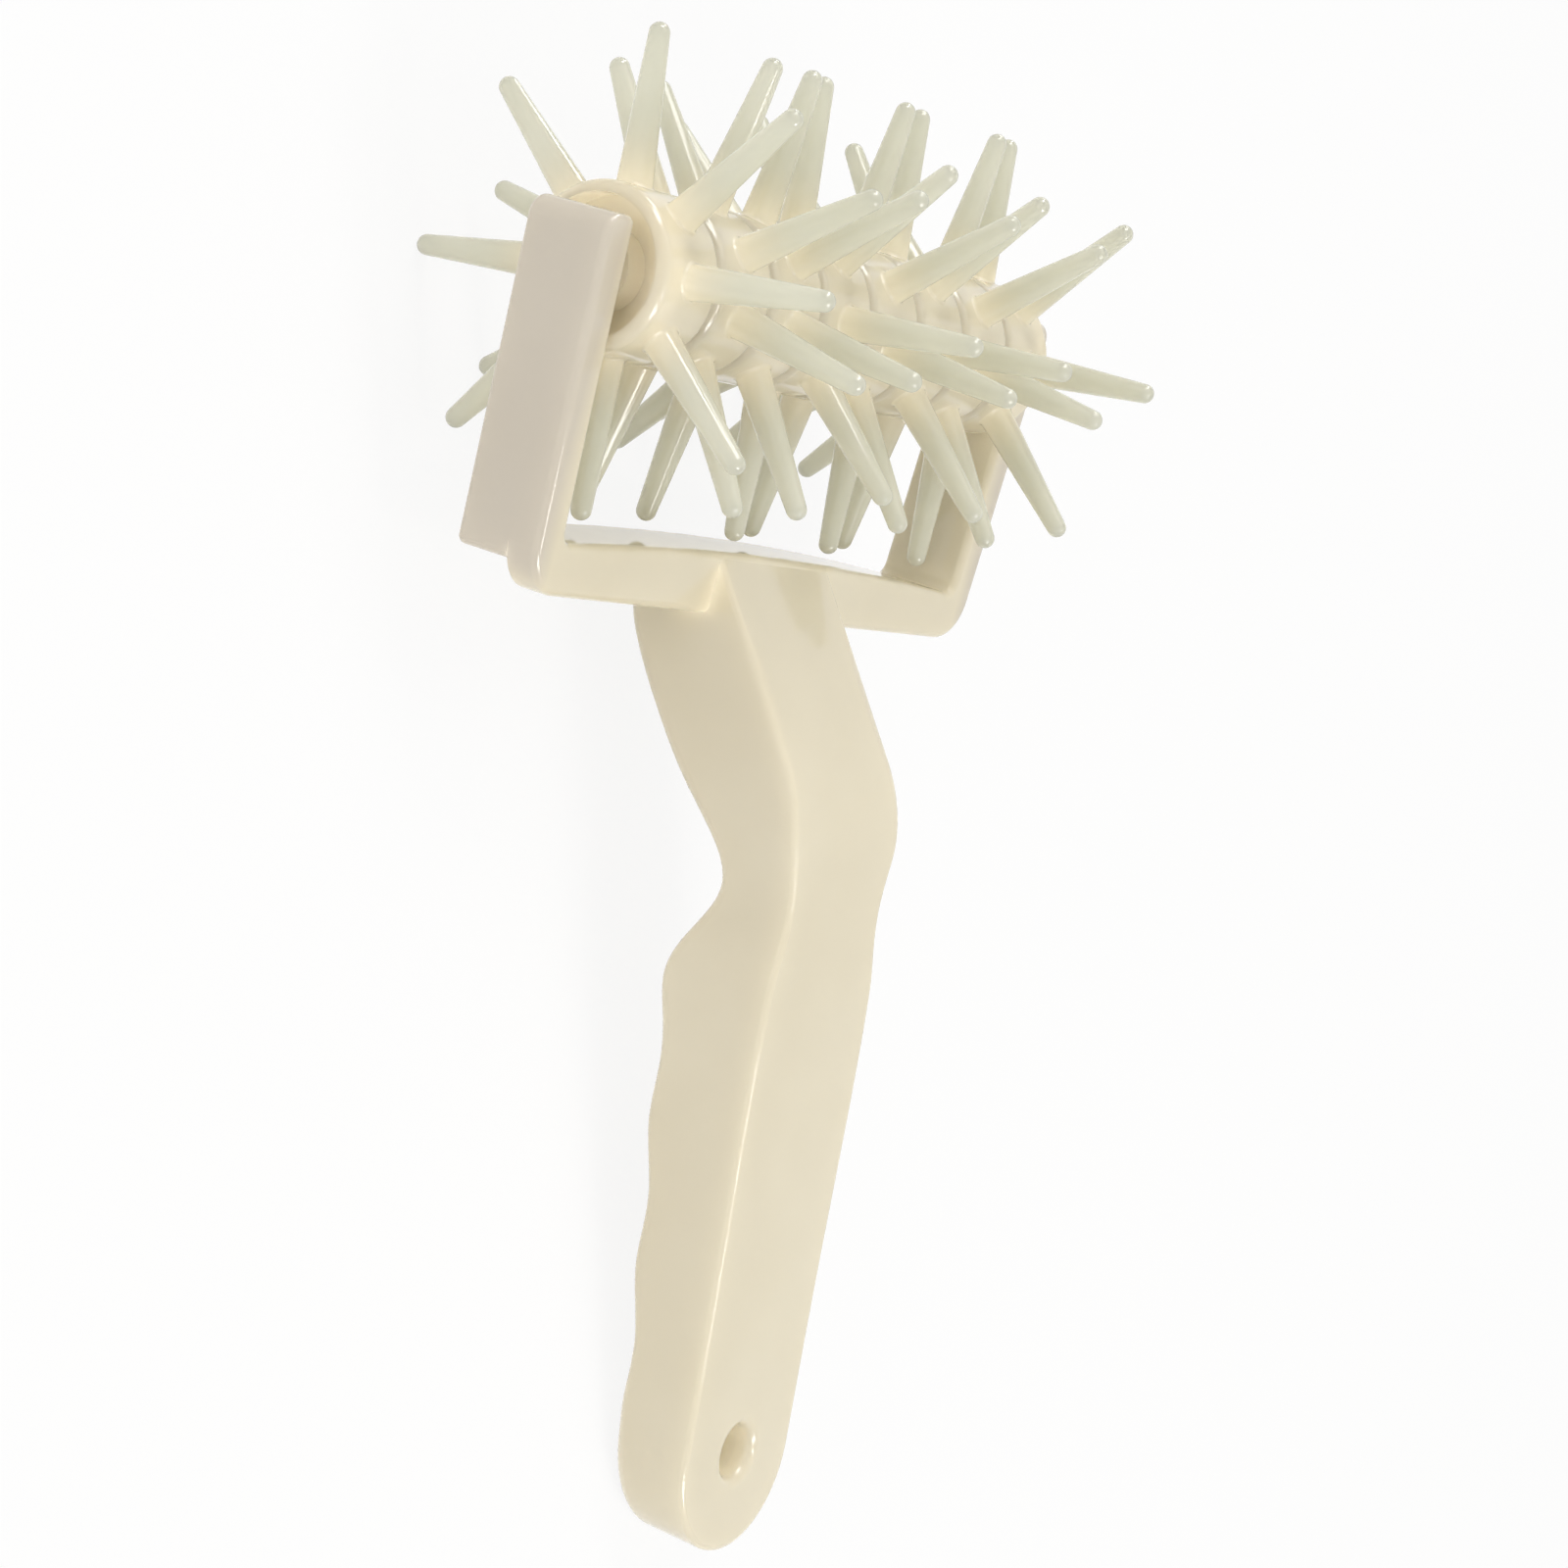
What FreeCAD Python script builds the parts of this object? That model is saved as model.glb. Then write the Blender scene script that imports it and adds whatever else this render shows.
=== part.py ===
import FreeCAD, Part
import math
import os

# A hand-held dough docker lying at rest on a table, palm side up.
# The pieces are drawn with the middle of the axle as origin: X runs along the axle, Y from the
# handle to the roller, Z up to the palm side. The handle and fork are then tilted until the
# spikes and the end of the grip stand on Z = 0, and the tool is moved so that the middle of its
# footprint is the origin. Lengths are millimetres, angles are degrees.

V = FreeCAD.Vector
ORIGIN = V(0, 0, 0)
X_AXIS = V(1, 0, 0)
NEAR = 0.01                                    # edges this close to a place are at it

# Roller: equal spiked rings side by side on a hexagonal shaft
# For each ring: how many flats of the shaft it is set round by, and the play it has taken up
RING_SETTINGS = ((0, -0.3), (1, 2.2), (1, -1.5), (0, 1.9), (1, -2.6), (0, 2.7), (1, -1.9), (0, 3.1))
RING_WIDTH = 13.3
RING_RADIUS = 11.15
RING_WALL = 1.7
RING_EDGE_ROUND = 1.45
WEB_THICKNESS = 5.4
HUB_WALL = 1.5
SPIKES_PER_RING = 8
SPIKE_BASE_RADIUS = 2.5
SPIKE_TIP_RADIUS = 1.4
SPIKE_REACH = 32.0                             # axle to the point of a spike
SPIKE_ROOT_ROUND = 0.5

# Shaft: hexagon through the rings, round journals in the arms
SHAFT_FLATS = 6
SHAFT_ACROSS_FLATS = 7.0
SHAFT_RING_CLEARANCE = 0.16
JOURNAL_RADIUS = 3.0
JOURNAL_CLEARANCE = 0.08
JOURNAL_DEPTH = 3.5                            # how far the socket enters the arm itself
JOURNAL_END_GAP = 0.4

# Fork: two arms that lean outwards, and a crowned cross bar on the palm side
ARM_GAP = 1.3                                  # roller's end to the arm, at the axle
END_PLAY = 0.4                                 # roller's hub to the boss on the arm
ARM_THICKNESS = 5.6
ARM_FRONT = 6.15                               # axle to the palm-side face
ARM_BACK = 6.8                                 # axle to the rear face
ARM_TOP = 7.25                                 # above the axle
ARM_LEAN = 3.7
ARM_TOP_ROUND = 2.6
BOSS_RADIUS = 5.0
BAR_SPIKE_GAP = 1.0                            # spike points to the top of the bar
BAR_HEIGHT = 8.7
BAR_CROWN = 1.8
BAR_CORNER_ROUND = 6.5
FOOT_DEPTH = 4.8                               # only this much of the bar reaches down to its foot
HEEL_HEIGHT = 3.6                              # the rest stops this far above the foot
FORK_INNER_ROUND = 2.0
FORK_EDGE_ROUND = 1.1

# Handle: distances back from the top of the bar, heights above the axle
NECK_START = 1.0
NECK_LENGTH = 28.4
NECK_SLOPE = 37.75
NECK_WIDTH = 29.2
# Underside of the neck: shares of the way back to the notch, and of the rise to it from the rear face
NECK_UNDERSIDE = ((0.056, -0.008), (0.232, 0.0), (0.361, 0.105), (0.555, 0.36), (0.74, 0.653), (0.876, 0.891))
KNEE_ROUND = 26.0
PALM_SLOPE = 5.55
NOTCH_BACK = 42.7                              # the hollow for the first finger
NOTCH_HEIGHT = 17.1
WAIST_BACK = 44.0                              # the flanks are hollowed here, depth on each side
WAIST_DEPTH = 1.9
WAIST_SPAN = 26.0
WAIST_STEPS = 8                                # outline points across the waist
CREST_BACK = 57.2                              # the first ridge between two fingers
CREST_HEIGHT = 13.0
GRIP_SLOPE = 10.65
WAVE_COUNT = 3
WAVE_PITCH = 19.8
WAVE_DEPTH = 1.0
WAVE_STEPS = 4                                 # outline points in one finger wave
GRIP_END = 133.4
END_WIDTH = 27.3
HOLE_BACK = 119.3
HOLE_RADIUS = 3.75
HOLE_RIM_ROUND = 1.5
HANDLE_EDGE_ROUND = 2.0                        # on the finger side
PALM_EDGE_ROUND = 0.8

# Sizes that follow from those above
ROLLER_HALF = len(RING_SETTINGS) * RING_WIDTH / 2
SPIKE_STEP = 360 / SPIKES_PER_RING
FLAT_STEP = 360 / SHAFT_FLATS
SHAFT_CORNER = SHAFT_ACROSS_FLATS / 2 / math.cos(math.pi / SHAFT_FLATS)
HUB_RADIUS = SHAFT_CORNER + HUB_WALL
ARM_INNER = ROLLER_HALF + ARM_GAP
FOOT_BACK = ARM_FRONT - FOOT_DEPTH
BAR_TOP = SPIKE_REACH + BAR_SPIKE_GAP
BAR_FOOT = BAR_TOP + BAR_HEIGHT
HEEL_FOOT = BAR_FOOT - HEEL_HEIGHT
KNEE_BACK = NECK_START + NECK_LENGTH
ROUND_BACK = GRIP_END - END_WIDTH / 2          # centre of the half-round end
PAST = SPIKE_REACH                             # outlines and cutters that are trimmed reach this far past


def sine(degrees):
    return math.sin(math.radians(degrees))


def cosine(degrees):
    return math.cos(math.radians(degrees))


def tangent(degrees):
    return math.tan(math.radians(degrees))


# At rest straight down is the middle of the widest gap that all the spikes leave between them
RING_TURNS = [flats * FLAT_STEP + play for flats, play in RING_SETTINGS]
ROWS = sorted(turn % SPIKE_STEP for turn in RING_TURNS)
ROW_BEFORE, ROW_AFTER = max(zip(ROWS, ROWS[1:] + [ROWS[0] + SPIKE_STEP]), key=lambda pair: pair[1] - pair[0])
REST_TURN = -90 - (ROW_BEFORE + ROW_AFTER) / 2
TIP_CENTRE = SPIKE_REACH - SPIKE_TIP_RADIUS
AXLE_HEIGHT = TIP_CENTRE * cosine((ROW_AFTER - ROW_BEFORE) / 2) + SPIKE_TIP_RADIUS


def prism(edges, sweep):
    """Solid made by sweeping a closed outline straight along a vector."""
    return Part.Face(Part.Wire(Part.__sortEdges__(edges))).extrude(sweep)


def polygon(points):
    return [Part.makeLine(a, b) for a, b in zip(points, points[1:] + points[:1])]


def is_upright(edge):
    """True for an edge that runs mostly along Z."""
    box = edge.BoundBox
    return box.ZLength > max(box.XLength, box.YLength)


def rounded_along_z(solid, radius, corners):
    """Round the upright edges of a prism that stand on the given corners."""
    def stands_on_corner(edge):
        middle = edge.BoundBox.Center
        near_one = any(math.hypot(middle.x - c.x, middle.y - c.y) < NEAR for c in corners)
        return near_one and is_upright(edge)
    return solid.makeFillet(radius, [e for e in solid.Edges if stands_on_corner(e)])


def rounded_face(solid, radius, height):
    """Round the whole outline of the flat face at a height."""
    def lies_flat(edge):
        box = edge.BoundBox
        return abs(box.ZMin - height) < NEAR and abs(box.ZMax - height) < NEAR
    return solid.makeFillet(radius, [e for e in solid.Edges if lies_flat(e)])


def cylinder_x(radius, x_from, x_to):
    return Part.makeCylinder(radius, x_to - x_from, V(x_from, 0, 0), X_AXIS)


def hexagon_x(corner, x_from, x_to):
    """Hexagonal bar along X with one flat facing +Y."""
    turns = [FLAT_STEP * (i + 0.5) for i in range(SHAFT_FLATS)]
    points = [V(x_from, corner * cosine(t), corner * sine(t)) for t in turns]
    return prism(polygon(points), V(x_to - x_from, 0, 0))


def spike():
    """One spike along +Y: a slim cone that runs smoothly into its round point."""
    root_centre = RING_RADIUS - RING_WALL
    taper = math.degrees(math.asin((SPIKE_BASE_RADIUS - SPIKE_TIP_RADIUS) / (TIP_CENTRE - root_centre)))

    def on_ball(centre, radius, angle):
        return V(radius * cosine(angle), centre + radius * sine(angle), 0)

    root = on_ball(root_centre, SPIKE_BASE_RADIUS, taper)
    shoulder = on_ball(TIP_CENTRE, SPIKE_TIP_RADIUS, taper)
    crown = on_ball(TIP_CENTRE, SPIKE_TIP_RADIUS, (taper + 90) / 2)
    point = V(0, SPIKE_REACH, 0)
    foot = V(0, root.y, 0)
    outline = [
        Part.makeLine(foot, root),
        Part.makeLine(root, shoulder),
        Part.Arc(shoulder, crown, point).toShape(),
        Part.makeLine(point, foot),
    ]
    return Part.Face(Part.Wire(outline)).revolve(ORIGIN, V(0, 1, 0), 360)


def is_spike_root(edge):
    """True for the closed edge where a spike leaves the drum."""
    box = edge.BoundBox
    out = math.hypot(box.Center.y, box.Center.z)
    across = RING_WIDTH - 2 * RING_EDGE_ROUND
    return box.XLength < across and RING_RADIUS - SPIKE_BASE_RADIUS < out < RING_RADIUS + SPIKE_ROOT_ROUND


def ring():
    """One spiked ring about X, hollow between its wall and its hub, its first spike along +Y."""
    half = RING_WIDTH / 2
    drum = cylinder_x(RING_RADIUS, -half, half)
    drum = drum.makeFillet(RING_EDGE_ROUND, [e for e in drum.Edges if isinstance(e.Curve, Part.Circle)])
    for i in range(SPIKES_PER_RING):
        one = spike()
        one.rotate(ORIGIN, X_AXIS, i * SPIKE_STEP)
        drum = drum.fuse(one)
    drum = drum.removeSplitter()
    drum = drum.makeFillet(SPIKE_ROOT_ROUND, [e for e in drum.Edges if is_spike_root(e)])
    hollow = cylinder_x(RING_RADIUS - RING_WALL, -half, half).cut(cylinder_x(HUB_RADIUS, -half, half))
    web = cylinder_x(RING_RADIUS, -WEB_THICKNESS / 2, WEB_THICKNESS / 2)
    bore_corner = SHAFT_CORNER + SHAFT_RING_CLEARANCE / cosine(FLAT_STEP / 2)
    bore = hexagon_x(bore_corner, -half, half)
    return drum.cut(hollow.cut(web)).cut(bore)


def shaft():
    """Hexagonal shaft with a round journal at each end."""
    end = ARM_INNER + JOURNAL_DEPTH - JOURNAL_END_GAP
    rod = hexagon_x(SHAFT_CORNER, -ROLLER_HALF, ROLLER_HALF)
    return rod.fuse(cylinder_x(JOURNAL_RADIUS, -end, end)).removeSplitter()


def arm_inner(height):
    """Distance of an arm's inner face from the middle of the tool, at a height above the axle."""
    return ARM_INNER + height * tangent(ARM_LEAN)


def fork_layer(foot, foot_round, z_joint, z_face):
    """Layer of the fork from the plane where the layers join to its rounded outer face."""
    inner_low = -BAR_TOP - BAR_CROWN
    right = [
        V(arm_inner(inner_low), inner_low, z_joint),
        V(arm_inner(ARM_TOP), ARM_TOP, z_joint),
        V(arm_inner(ARM_TOP) + ARM_THICKNESS, ARM_TOP, z_joint),
        V(arm_inner(-foot) + ARM_THICKNESS, -foot, z_joint),
    ]
    left = [V(-p.x, p.y, p.z) for p in right]
    around = right + left[::-1]
    outline = [Part.makeLine(a, b) for a, b in zip(around, around[1:])]
    outline.append(Part.Arc(left[0], V(0, -BAR_TOP, z_joint), right[0]).toShape())
    layer = prism(outline, V(0, 0, z_face - z_joint))
    rounds = (FORK_INNER_ROUND, FORK_EDGE_ROUND, ARM_TOP_ROUND, foot_round)
    for radius, a, b in zip(rounds, right, left):
        layer = rounded_along_z(layer, radius, (a, b))
    return rounded_face(layer, FORK_EDGE_ROUND, z_face)


def fork():
    """Fork with a boss and a blind journal socket inside each arm."""
    front = fork_layer(BAR_FOOT, BAR_CORNER_ROUND, FOOT_BACK, ARM_FRONT)
    rear = fork_layer(HEEL_FOOT, FORK_EDGE_ROUND, FOOT_BACK, -ARM_BACK)
    body = front.fuse(rear).removeSplitter()
    face = ROLLER_HALF + END_PLAY
    inside = ARM_INNER + ARM_THICKNESS / 2
    body = body.fuse([cylinder_x(BOSS_RADIUS, face, inside), cylinder_x(BOSS_RADIUS, -inside, -face)])
    bottom = ARM_INNER + JOURNAL_DEPTH
    return body.cut(cylinder_x(JOURNAL_RADIUS + JOURNAL_CLEARANCE, -bottom, bottom))


def palm_height(back):
    """Height of the straight part of the palm face."""
    return ARM_FRONT + NECK_LENGTH * tangent(NECK_SLOPE) + (back - KNEE_BACK) * tangent(PALM_SLOPE)


def crest_height(back):
    """Height of the line along the ridges between the fingers."""
    return CREST_HEIGHT + (back - CREST_BACK) * tangent(GRIP_SLOPE)


def side_point(back, height):
    return V(-NECK_WIDTH, -BAR_TOP - back, height)


def finger_edges():
    """Underside of the handle: the neck, the notch, the finger waves and a straight end."""
    rise = NOTCH_HEIGHT + ARM_BACK
    points = [(NOTCH_BACK * back, rise * up - ARM_BACK) for back, up in NECK_UNDERSIDE]
    points.append((NOTCH_BACK, NOTCH_HEIGHT))
    points.append(((NOTCH_BACK + CREST_BACK) / 2, (NOTCH_HEIGHT + CREST_HEIGHT) / 2))
    for i in range(WAVE_COUNT * WAVE_STEPS + 1):
        back = CREST_BACK + i * WAVE_PITCH / WAVE_STEPS
        points.append((back, crest_height(back) + WAVE_DEPTH / 2 * (1 - cosine(360 * i / WAVE_STEPS))))
    waves = Part.BSplineCurve()
    waves.interpolate(
        Points=[side_point(*p) for p in points],
        InitialTangent=V(0, -1, 0),
        FinalTangent=V(0, -cosine(GRIP_SLOPE), sine(GRIP_SLOPE)),
        Scale=False,
    )
    end = (GRIP_END + PAST, crest_height(GRIP_END + PAST))
    return [waves.toShape(), Part.makeLine(side_point(*points[-1]), side_point(*end))]


def palm_edges():
    """Palm side of the handle: up the neck, round the knee and along the grip."""
    start = side_point(NECK_START / 2, ARM_FRONT - NECK_START / 2 * tangent(NECK_SLOPE))
    bend = NECK_SLOPE - PALM_SLOPE
    reach = KNEE_ROUND * tangent(bend / 2)
    sag = KNEE_ROUND / cosine(bend / 2) - KNEE_ROUND
    middle = NECK_SLOPE - bend / 2
    top = palm_height(KNEE_BACK)
    knee_in = side_point(KNEE_BACK - reach * cosine(NECK_SLOPE), top - reach * sine(NECK_SLOPE))
    knee_mid = side_point(KNEE_BACK + sag * sine(middle), top - sag * cosine(middle))
    knee_out = side_point(KNEE_BACK + reach * cosine(PALM_SLOPE), top + reach * sine(PALM_SLOPE))
    end = side_point(GRIP_END + PAST, palm_height(GRIP_END + PAST))
    return [
        Part.makeLine(start, knee_in),
        Part.Arc(knee_in, knee_mid, knee_out).toShape(),
        Part.makeLine(knee_out, end),
    ]


def half_width(back):
    """Half the width of the handle: an even taper, hollowed at the waist."""
    taper = (NECK_WIDTH + (END_WIDTH - NECK_WIDTH) * back / ROUND_BACK) / 2
    away = min(1, abs(back - WAIST_BACK) / (WAIST_SPAN / 2))
    return taper - WAIST_DEPTH * (1 + cosine(180 * away)) / 2


def plan():
    """Plan of the neck and grip, with a half-round end."""
    waist = [WAIST_BACK + WAIST_SPAN * (i / WAIST_STEPS - 0.5) for i in range(WAIST_STEPS + 1)]
    places = [0, waist[0] / 2] + waist + [(waist[-1] + ROUND_BACK) / 2, ROUND_BACK]
    sides = []
    for sign in (1, -1):
        curve = Part.BSplineCurve()
        curve.interpolate(
            Points=[V(sign * half_width(back), -BAR_TOP - back, -PAST) for back in places],
            InitialTangent=V(0, -1, 0),
            FinalTangent=V(0, -1, 0),
            Scale=False,
        )
        sides.append(curve)
    right, left = sides
    end = Part.Arc(right.EndPoint, V(0, -BAR_TOP - GRIP_END, -PAST), left.EndPoint)
    start = Part.makeLine(right.StartPoint, left.StartPoint)
    outline = [right.toShape(), left.toShape(), end.toShape(), start]
    return prism(outline, V(0, 0, palm_height(GRIP_END) + 2 * PAST))


def is_long_edge(edge):
    """True for the edges between the flanks of the handle and its palm and finger sides."""
    box = edge.BoundBox
    crosses = box.YLength < NEAR
    return not crosses and not is_upright(edge)


def on_palm(body, edge):
    """True for an edge of the palm side, whose faces look up."""
    for face in body.ancestorsOfType(edge, Part.Face):
        u_low, u_high, v_low, v_high = face.ParameterRange
        if face.normalAt((u_low + u_high) / 2, (v_low + v_high) / 2).z > NEAR:
            return True
    return False


def hole_axis():
    """Point on the palm face and the way out of it, at the hanging hole."""
    return V(0, -BAR_TOP - HOLE_BACK, palm_height(HOLE_BACK)), V(0, sine(PALM_SLOPE), cosine(PALM_SLOPE))


def handle():
    """Neck and grip: the side outline swept across, trimmed to the plan, its long edges rounded."""
    under = finger_edges()
    over = palm_edges()
    front = Part.makeLine(under[0].Vertexes[0].Point, over[0].Vertexes[0].Point)
    back = Part.makeLine(under[-1].Vertexes[-1].Point, over[-1].Vertexes[-1].Point)
    body = prism(under + over + [front, back], V(2 * NECK_WIDTH, 0, 0)).common(plan())
    finger_side = [e for e in body.Edges if is_long_edge(e) and not on_palm(body, e)]
    body = body.makeFillet(HANDLE_EDGE_ROUND, finger_side)
    palm_side = [e for e in body.Edges if is_long_edge(e) and on_palm(body, e)]
    body = body.makeFillet(PALM_EDGE_ROUND, palm_side)
    top, out = hole_axis()
    body = body.cut(Part.makeCylinder(HOLE_RADIUS, 2 * PAST, top - out * PAST, out))
    rims = [e for e in body.Edges if e.Closed and e.BoundBox.XLength < 2 * HOLE_RADIUS + NEAR]
    return body.makeFillet(HOLE_RIM_ROUND, rims)


def rest_tilt():
    """Tilt about the axle at which the rounded end of the grip comes down to the table."""
    back = BAR_TOP + GRIP_END - HANDLE_EDGE_ROUND
    height = crest_height(GRIP_END - HANDLE_EDGE_ROUND) + HANDLE_EDGE_ROUND / cosine(GRIP_SLOPE)
    drop = math.asin((AXLE_HEIGHT - HANDLE_EDGE_ROUND) / math.hypot(back, height))
    return math.degrees(drop + math.atan2(height, back))


def pieces():
    """Every piece at its place about the axle, by name."""
    handle_fork = fork().fuse(handle()).removeSplitter()
    handle_fork.rotate(ORIGIN, X_AXIS, rest_tilt())
    rod = shaft()
    rod.rotate(ORIGIN, X_AXIS, REST_TURN)
    made = {"handle_fork": handle_fork, "shaft": rod}
    one = ring()
    for i, turn in enumerate(RING_TURNS):
        turned = one.copy()
        turned.rotate(ORIGIN, X_AXIS, REST_TURN + turn)
        turned.translate(V((i + 0.5) * RING_WIDTH - ROLLER_HALF, 0, 0))
        made[f"ring_{i + 1}"] = turned
    return made


def main():
    os.makedirs("parts", exist_ok=True)
    made = pieces()
    box = Part.makeCompound(list(made.values())).optimalBoundingBox(False, False)
    move = V(0, -box.Center.y, AXLE_HEIGHT)
    tilt = FreeCAD.Rotation(X_AXIS, rest_tilt())
    top, out = hole_axis()
    print("axle at", move, "hole at", tilt.multVec(top) + move, "hole axis", tilt.multVec(out))
    print("tilt", rest_tilt(), "low", box.ZMin + AXLE_HEIGHT, "size", box.XLength, box.YLength, box.ZLength)
    for name, shape in made.items():
        shape.translate(move)
        print(name, shape.isValid(), len(shape.Solids), round(shape.Volume, 1))
        shape.exportStep(f"parts/{name}.step")


if __name__ == "__main__":
    main()
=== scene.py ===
import math

import bmesh
import bpy
from mathutils import Euler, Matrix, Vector

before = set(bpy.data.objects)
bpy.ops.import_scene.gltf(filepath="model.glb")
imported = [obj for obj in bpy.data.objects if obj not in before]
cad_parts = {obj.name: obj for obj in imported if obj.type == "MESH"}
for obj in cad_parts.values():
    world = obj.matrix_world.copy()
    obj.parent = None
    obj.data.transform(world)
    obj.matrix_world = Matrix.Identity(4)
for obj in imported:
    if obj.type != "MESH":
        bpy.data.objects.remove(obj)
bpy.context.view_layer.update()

# A dough docker: an ivory moulded handle with a fork, and eight spiked rings on a shaft between its
# arms. Everything is in metres, in the frame of the solids: the floor is z = 0 and the handle points
# to -Y. MM turns sizes that are written in millimetres to metres.
MM = 0.001

RING_COUNT = 8
AXLE = Vector((0.0, 69.026, 31.123)) * MM
ACROSS_AXLE = (0.0, 1.0, 1.0)
HOLE_TOP = Vector((0.0, -86.687, 13.557)) * MM      # where the hole's axis leaves the palm face
HOLE_AXIS = Vector((0.0, -0.25033, 0.96816))

# Colours: the deeper and the paler clouds as on a swatch, then painted light, a paler colour for
# hollows
# that stands in for the light shining through their thin walls
BASE_IVORY = ("#E2D8BD", "#E8DFC6", "#FAF2DD")
DRUM_IVORY = ("#D9D0B7", "#DFD7C1", "#E4DBC4")
# the points' colours are painted light, paler and greener where the spikes are thin
POINT_IVORY = ("#CFCEBA", "#D6D5C3", "#DFDECE")
# painted shade: darker, greyer clouds for the outside of the thin arms, which give less light back
ARM_SHADED_IVORY = ("#CDC4B3", "#D5CCBB")                  # the clouds only
# painted light: the pale upper wall of the hanging hole
HOLE_WALL_PAINTED_LIGHT = "#FFF6DF"
PAPER_WHITES = ("#F6F6F5", "#F9F9F8")
WARM_LIGHT = "#FFFAF0"
STRIP_LIGHT = "#FFFDF8"
COOL_LIGHT = "#F6F2FF"
WHITE_LIGHT = "#FFFFFF"

# Where painted shade, painted light, the paler spikes or the soft corners begin and where they are full
ARM_OUTSIDE = (54.0 * MM, 57.0 * MM)                # from the middle plane
HOLE_WALL = (4.4 * MM, 3.9 * MM)                    # from the hole's axis
HOLE_LIGHT_DEPTH = (-2.9 * MM, -2.6 * MM)              # along the hole's axis, from the palm face
THIN_SPIKE = (9.0 * MM, 21.0 * MM)                  # from the axle
NECK_MIDDLE = (32.0 * MM, 20.0 * MM)                # from the middle plane
NECK_BACK = (-6.0 * MM, 14.0 * MM)                  # along Y
NECK_FRONT = (27.0 * MM, 21.0 * MM)                 # along Y
CORNER_ROUND = (0.1 * MM, 3.0 * MM)                 # radius of a crisp corner and of a soft one

# Moulded plastic
PLASTIC_IOR = 1.53
GLOW_BY_COLOUR = (1.0, 0.96, 0.86)                  # how far red, green and blue light goes in
HOLLOW_REACH = 9.0 * MM                             # walls this near make a hollow
HOLLOW_GLOW = 9.0 * MM                              # how far light goes in there
HOLLOW_SKY = (0.66, 0.26)                           # share of open sky where one begins and is full
CLOUD_SPAN = (0.32, 0.68)                           # part of the noise that goes from deep to pale
PATCH_SIZE = 7.0                                    # in millimetres, as the other pattern sizes
PATCH_SPAN = (0.35, 0.75)
SINK_WAVE = (9.0, 0.016)                            # length and depth in millimetres
MOULD_SKIN = (0.8, 0.0008)
SURFACE_SAMPLES = 6                                 # rays that feel for hollows and corners

# Studio
FLOOR_HALF_WIDTH = 3.0
PAPER_FIBRE = 60.0
FLOOR_WHITE_SHARE = 0.87                            # the rest of what is seen is paper with a shadow
WORLD_COLOUR = (0.985, 0.99, 1.0, 1.0)
WORLD_LIGHT = 0.61                                  # as light on the tool
WORLD_SEEN = 1.0                                    # as seen behind the tool and in its gloss
SENSOR_WIDTH = 36.0
LENS = 91.92
CAMERA_PLACE = Vector((-474.50, -20.03, 302.53)) * MM
CAMERA_TURN = (6.4526, -59.5055, -4.4639)           # degrees about X, Y and Z


def linear(hex_colour):
    """A colour as it is written on a swatch, turned to the linear values that a shader takes."""
    parts = [int(hex_colour[i:i + 2], 16) / 255 for i in (1, 3, 5)]
    return [p / 12.92 if p <= 0.04045 else ((p + 0.055) / 1.055) ** 2.4 for p in parts] + [1.0]


def add(tree, kind, settings=None, **links):
    """Adds one node: settings are its own options, and links are values or outputs for its inputs, by
    name with _ for a space, or by number after a _."""
    made = tree.nodes.new(kind)
    for name, value in (settings or {}).items():
        setattr(made, name, value)
    for name, value in links.items():
        socket = made.inputs[int(name[1:]) if name[0] == "_" else name.replace("_", " ")]
        if isinstance(value, bpy.types.NodeSocket):
            tree.links.new(value, socket)
        else:
            socket.default_value = value
    return made


def noise(tree, place, size_mm, detail, roughness=0.5):
    """A random pattern of a real size."""
    return add(tree, "ShaderNodeTexNoise", Vector=place, Scale=1.0 / (size_mm * MM), Detail=detail,
               Roughness=roughness).outputs["Fac"]


def ramp(tree, value, start, end, low=0.0, high=1.0, course="LINEAR"):
    """Goes from low to high while the value goes from start to end, and stays there outside them."""
    return add(tree, "ShaderNodeMapRange", {"interpolation_type": course}, Value=value, From_Min=start,
               From_Max=end, To_Min=low, To_Max=high).outputs["Result"]


def blend(tree, share, first, second):
    """A colour between two others."""
    return add(tree, "ShaderNodeMix", {"data_type": "RGBA"}, Factor=share, _6=first,
               _7=second).outputs[2]


def number(tree, operation, *values):
    """One step of arithmetic with numbers."""
    links = {f"_{i}": value for i, value in enumerate(values)}
    return add(tree, "ShaderNodeMath", {"operation": operation}, **links).outputs[0]


def vector(tree, operation, *values):
    """One step of arithmetic with places or directions."""
    links = {f"_{i}": value for i, value in enumerate(values)}
    made = add(tree, "ShaderNodeVectorMath", {"operation": operation}, **links)
    return made.outputs["Value" if operation in ("LENGTH", "DOT_PRODUCT") else "Vector"]


def new_material(name):
    """A material without nodes, its tree, and the place on the piece that its patterns go by."""
    made = bpy.data.materials.new(name)
    made.use_nodes = True
    made.node_tree.nodes.clear()
    place = add(made.node_tree, "ShaderNodeTexCoord").outputs["Object"]
    return made, made.node_tree, place


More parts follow.
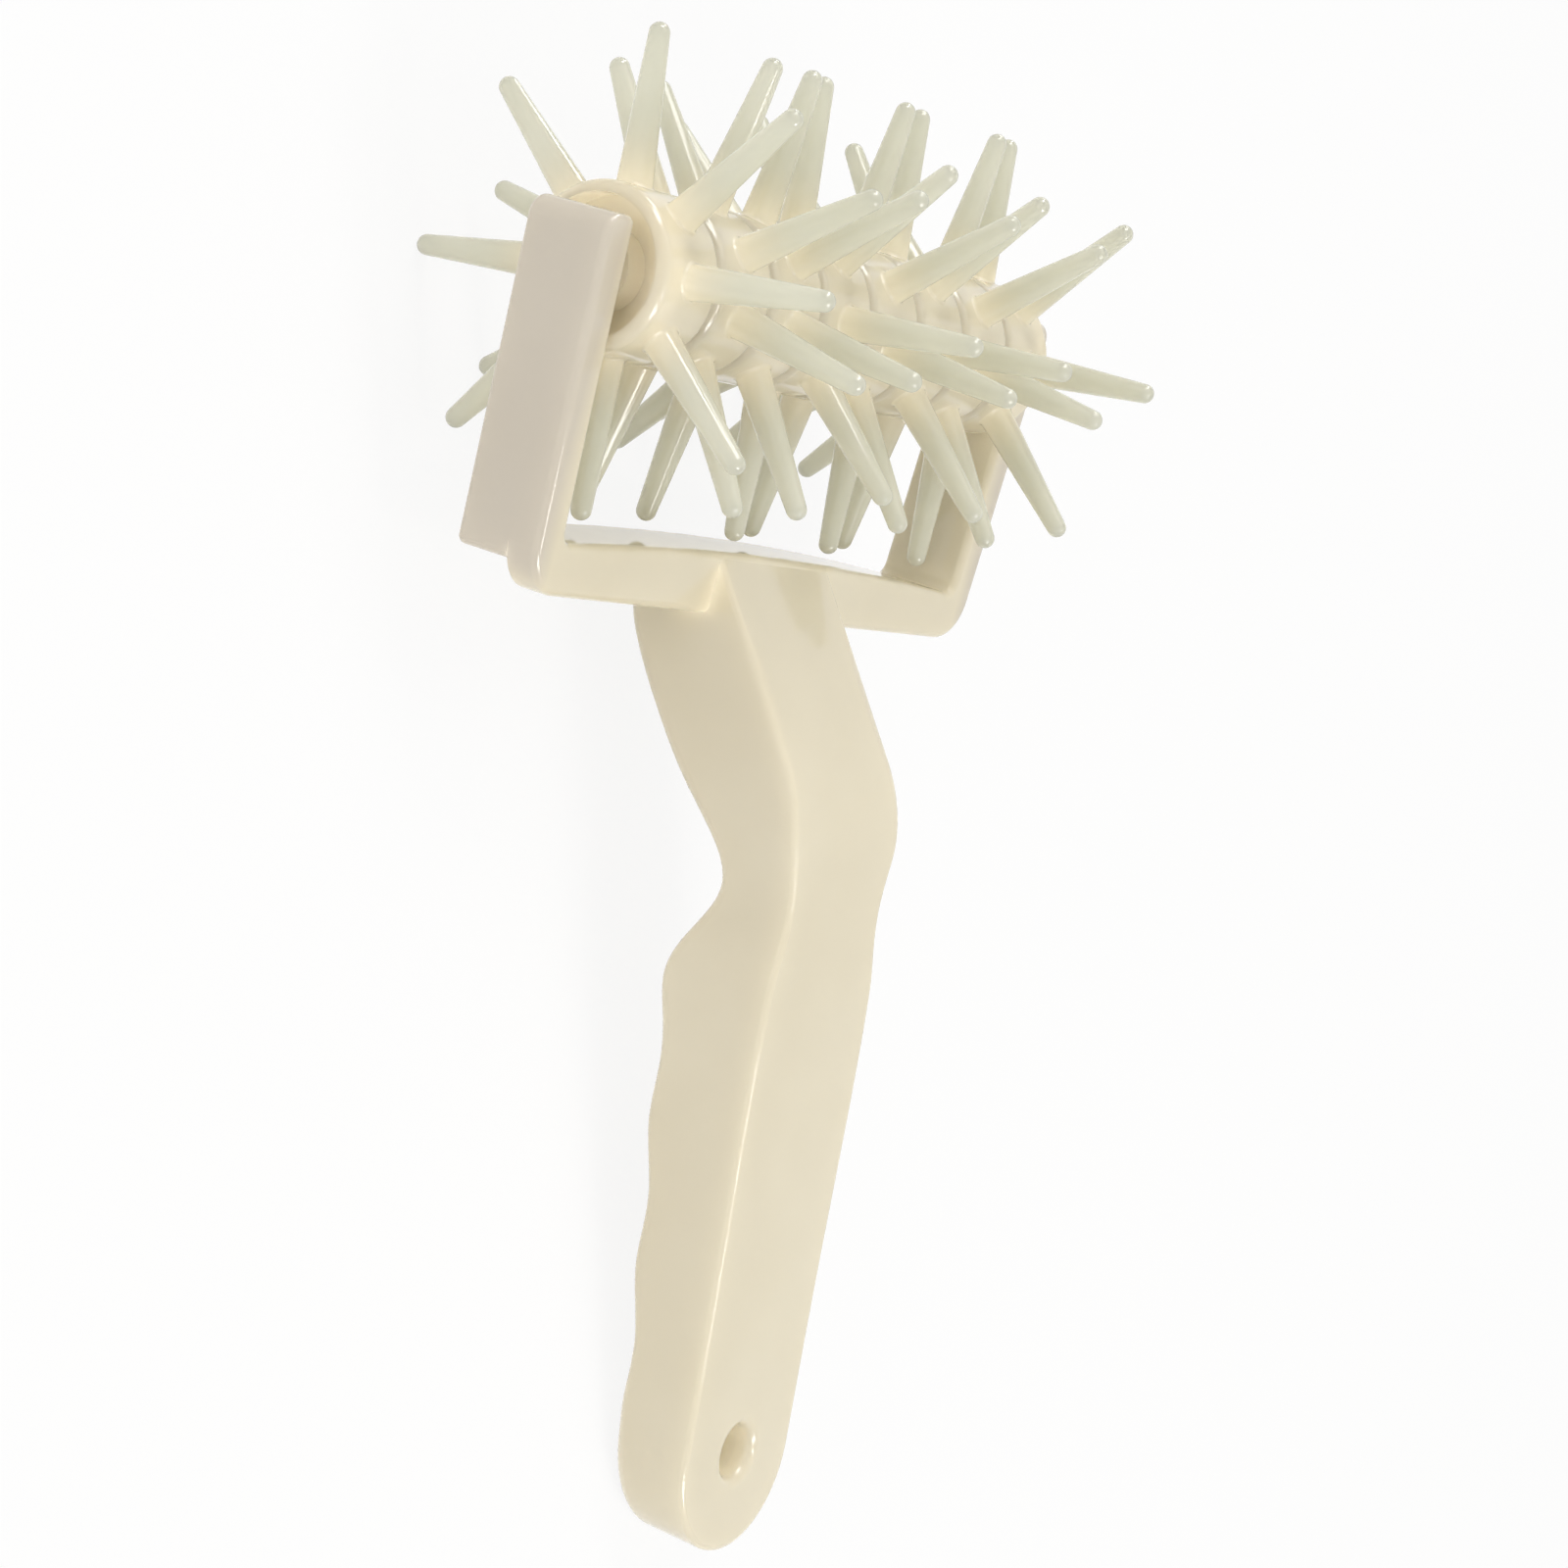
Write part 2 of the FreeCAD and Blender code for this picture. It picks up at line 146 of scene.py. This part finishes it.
def moulded_plastic(name, tint, soften, cloud_mm, gloss, glow_mm):
    """Glossy injection moulded plastic: near even colour with faint clouds, corners that run into each
    other as they do in a polished mould, slow sink waves, and light that goes some way in.
    tint makes the colour nodes and returns the deep, the pale and the painted light of the hollows, and
    soften makes the nodes that give the surface its normal before the waves. gloss is the least and the
    most roughness, and glow_mm is how far light goes in."""
    made, tree, place = new_material(name)
    deep, pale, painted_hollow_light = tint(tree, place)
    cloud = noise(tree, place, cloud_mm, detail=3.0, roughness=0.55)
    colour = blend(tree, ramp(tree, cloud, *CLOUD_SPAN), deep, pale)

    # painted light: narrow hollows get a paler colour for the light that comes through their thin
    # walls,
    # and light goes further into them
    sky = add(tree, "ShaderNodeAmbientOcclusion", {"samples": SURFACE_SAMPLES}, Distance=HOLLOW_REACH)
    hollow = ramp(tree, sky.outputs["AO"], *HOLLOW_SKY)
    colour = blend(tree, hollow, colour, painted_hollow_light)
    glow = ramp(tree, hollow, 0.0, 1.0, glow_mm * MM, HOLLOW_GLOW)

    # handling leaves patches a few millimetres wide that shine less than the rest
    patch = noise(tree, place, PATCH_SIZE, detail=4.0, roughness=0.6)
    shine = ramp(tree, patch, *PATCH_SPAN, *gloss)

    # sink waves hundredths of a millimetre deep, with a fine mould skin over them
    normal = soften(tree, place)
    for long_mm, deep_mm in (SINK_WAVE, MOULD_SKIN):
        height = noise(tree, place, long_mm, detail=1.0)
        normal = add(tree, "ShaderNodeBump", Strength=1.0, Distance=deep_mm * MM, Height=height,
                     Normal=normal).outputs["Normal"]

    shader = add(tree, "ShaderNodeBsdfPrincipled", {"subsurface_method": "BURLEY"}, Base_Color=colour,
                 Roughness=shine, IOR=PLASTIC_IOR, Normal=normal, Subsurface_Weight=1.0,
                 Subsurface_Radius=GLOW_BY_COLOUR, Subsurface_Scale=glow)
    add(tree, "ShaderNodeOutputMaterial", Surface=shader.outputs["BSDF"])
    return made


def ivory(tree, place):
    """One ivory all over."""
    return [linear(shade) for shade in BASE_IVORY]


def ivory_of_handle(tree, place):
    """Ivory with painted shade on the outside of the thin arms, darker and greyer as they give less
    light back, and painted light on the wall of the hanging hole, pale from the palm face down to a
    depth."""
    *clouds, painted_hollow_light = ivory(tree, place)
    split = add(tree, "ShaderNodeSeparateXYZ", Vector=place)
    arm = ramp(tree, number(tree, "ABSOLUTE", split.outputs["X"]), *ARM_OUTSIDE)
    deep, pale = [blend(tree, arm, shade, linear(grey)) for shade, grey in zip(clouds, ARM_SHADED_IVORY)]

    # painted light: the hole's wall is pale from the palm face down to a depth, and the edge of that
    # band stands in for a bright line
    offset = vector(tree, "SUBTRACT", place, HOLE_TOP)
    upper = ramp(tree, vector(tree, "DOT_PRODUCT", offset, HOLE_AXIS), *HOLE_LIGHT_DEPTH)
    away = vector(tree, "LENGTH", vector(tree, "CROSS_PRODUCT", offset, HOLE_AXIS))
    painted_light_on_wall = number(tree, "MULTIPLY", ramp(tree, away, *HOLE_WALL), upper)
    return deep, pale, blend(tree, painted_light_on_wall, painted_hollow_light, linear(HOLE_WALL_PAINTED_LIGHT))


def ivory_paler_to_the_points(tree, place):
    """Warm ivory in the drum, with painted light: paler and greener out along the thin spikes."""
    from_axle = vector(tree, "SUBTRACT", place, AXLE)
    reach = vector(tree, "LENGTH", vector(tree, "MULTIPLY", from_axle, ACROSS_AXLE))
    # painted light: thin spikes get paler, greener colours that stand in for light passing through them
    thin = ramp(tree, reach, *THIN_SPIKE, course="SMOOTHSTEP")
    return [blend(tree, thin, linear(drum), linear(point))
            for drum, point in zip(DRUM_IVORY, POINT_IVORY)]


def soft_neck(tree, place):
    """Corners are crisp along the grip and the arms, and run softly into each other about the neck."""
    split = add(tree, "ShaderNodeSeparateXYZ", Vector=place)
    soft = ramp(tree, number(tree, "ABSOLUTE", split.outputs["X"]), *NECK_MIDDLE)
    for span in (NECK_BACK, NECK_FRONT):
        soft = number(tree, "MULTIPLY", soft, ramp(tree, split.outputs["Y"], *span))
    radius = ramp(tree, soft, 0.0, 1.0, *CORNER_ROUND)
    return add(tree, "ShaderNodeBevel", {"samples": SURFACE_SAMPLES}, Radius=radius).outputs["Normal"]


def as_built(tree, place):
    """Corners as they are in the solid."""
    return add(tree, "ShaderNodeNewGeometry").outputs["Normal"]


def dress(node, material):
    """Gives a solid its finish."""
    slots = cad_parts[node].data.materials
    slots.clear()
    slots.append(material)


# Handle and fork: ABS, moulded in a polished tool, glossy and a little milky at its edges
HANDLE_ABS = moulded_plastic("ivory_abs_moulded", ivory_of_handle, soft_neck, cloud_mm=45.0,
                             gloss=(0.04, 0.07), glow_mm=4.0)
# Rings: polypropylene, more milky, so that thin spikes let light through
RING_POLYPROPYLENE = moulded_plastic("ivory_polypropylene_moulded", ivory_paler_to_the_points, as_built,
                                     cloud_mm=18.0, gloss=(0.04, 0.07), glow_mm=8.0)
# Shaft: the same polypropylene with a drier surface, where the rings were pushed along it
SHAFT_POLYPROPYLENE = moulded_plastic("ivory_polypropylene_shaft", ivory, as_built, cloud_mm=14.0,
                                      gloss=(0.22, 0.34), glow_mm=8.0)

dress("handle_fork", HANDLE_ABS)
dress("shaft", SHAFT_POLYPROPYLENE)
for ring in range(1, RING_COUNT + 1):
    dress(f"ring_{ring}", RING_POLYPROPYLENE)


def seen_directly(tree):
    """1 for rays from the camera and for what gloss or clear plastic shows, and 0 for the light that
    falls on things."""
    path = add(tree, "ShaderNodeLightPath").outputs
    seen = number(tree, "MAXIMUM", path["Is Camera Ray"], path["Is Glossy Ray"])
    return number(tree, "MAXIMUM", seen, path["Is Transmission Ray"])


def studio_floor():
    """A wide pale sheet under the tool, white to the camera, that keeps a soft shadow."""
    sheet = bpy.data.meshes.new("floor")
    shape = bmesh.new()
    bmesh.ops.create_grid(shape, x_segments=1, y_segments=1, size=FLOOR_HALF_WIDTH)
    shape.to_mesh(sheet)
    shape.free()
    floor = bpy.data.objects.new("floor", sheet)
    bpy.context.scene.collection.objects.link(floor)
    made, tree, place = new_material("matt_white_paper")
    fibre = noise(tree, place, PAPER_FIBRE, detail=2.0)
    tone = blend(tree, fibre, *[linear(shade) for shade in PAPER_WHITES])
    paper = add(tree, "ShaderNodeBsdfDiffuse", Color=tone)
    white = add(tree, "ShaderNodeEmission", Color=(1.0, 1.0, 1.0, 1.0), Strength=1.0)
    share = number(tree, "MULTIPLY", seen_directly(tree), FLOOR_WHITE_SHARE)
    mixed = add(tree, "ShaderNodeMixShader", Fac=share, _1=paper.outputs["BSDF"],
                _2=white.outputs["Emission"])
    add(tree, "ShaderNodeOutputMaterial", Surface=mixed.outputs["Shader"])
    sheet.materials.append(made)


def lamp(name, place, aim, size, watts, colour, glint=False, mirrored=True):
    """A soft box: size is its width and its height, and it is turned to face a point of the tool. A
    glint is a box that is only seen mirrored in the gloss, and a box that isn't mirrored only lights
    the plastic."""
    light = bpy.data.lights.new(name, "AREA")
    light.shape = "RECTANGLE"
    light.size, light.size_y = size
    light.energy = watts
    light.color = linear(colour)[:3]
    box = bpy.data.objects.new(name, light)
    box.location = place
    box.rotation_euler = (Vector(aim) - Vector(place)).to_track_quat("-Z", "Y").to_euler()
    box.visible_diffuse = not glint
    box.visible_glossy = mirrored
    bpy.context.scene.collection.objects.link(box)


studio_floor()
# Soft light from beyond the roller, beyond the handle, above and beside the camera. Each box has its
# name, its place, the point that it faces, its size, its watts and its colour.
lamp("box_roller_side", (-0.05, 0.86, 0.62), (0.0, 0.05, 0.03), (0.46, 0.22), 1.7, WARM_LIGHT)
lamp("box_handle_side", (-0.10, -0.74, 0.68), (0.0, 0.0, 0.03), (0.44, 0.20), 1.5, WARM_LIGHT)
lamp("strip_above", (0.0, -0.47, 0.90), (0.0, -0.04, 0.02), (0.30, 0.14), 1.1, STRIP_LIGHT)
lamp("top_roller_side", (0.05, 0.55, 0.90), (0.0, 0.03, 0.03), (0.5, 0.5), 1.15, WARM_LIGHT)
lamp("fill_camera_side", (-0.85, 0.08, 0.20), (0.0, 0.0, 0.03), (0.6, 0.3), 0.95, COOL_LIGHT,
     mirrored=False)
# Boxes that draw the small highlights on the spikes, the ring edges and the ridges
lamp("glint_roller_side", (-0.05, 0.88, 0.64), (0.0, 0.05, 0.03), (0.70, 0.34), 4.6, WHITE_LIGHT,
     glint=True)
lamp("glint_handle_side", (-0.10, -0.76, 0.70), (0.0, 0.0, 0.03), (0.66, 0.32), 4.0, WHITE_LIGHT,
     glint=True)
lamp("glint_behind", (0.48, 0.88, 0.32), (0.0, 0.07, 0.03), (0.26, 0.26), 1.6, WHITE_LIGHT,
     glint=True)

# The world is white behind the tool and in its gloss, and lights it less than it shows
world = bpy.data.worlds.new("studio")
bpy.context.scene.world = world
world.use_nodes = True
world_tree = world.node_tree
world_tree.nodes.clear()
level = ramp(world_tree, seen_directly(world_tree), 0.0, 1.0, WORLD_LIGHT, WORLD_SEEN)
backdrop = add(world_tree, "ShaderNodeBackground", Color=WORLD_COLOUR, Strength=level)
add(world_tree, "ShaderNodeOutputWorld", Surface=backdrop.outputs["Background"])

# The camera looks down on the tool's left side, with the handle towards the bottom of the picture
camera = bpy.data.cameras.new("camera")
camera.sensor_width = SENSOR_WIDTH
camera.lens = LENS
viewer = bpy.data.objects.new("camera", camera)
viewer.location = CAMERA_PLACE
viewer.rotation_euler = Euler([math.radians(angle) for angle in CAMERA_TURN], "XYZ")
bpy.context.scene.collection.objects.link(viewer)
bpy.context.scene.camera = viewer
bpy.context.scene.view_settings.view_transform = "Standard"
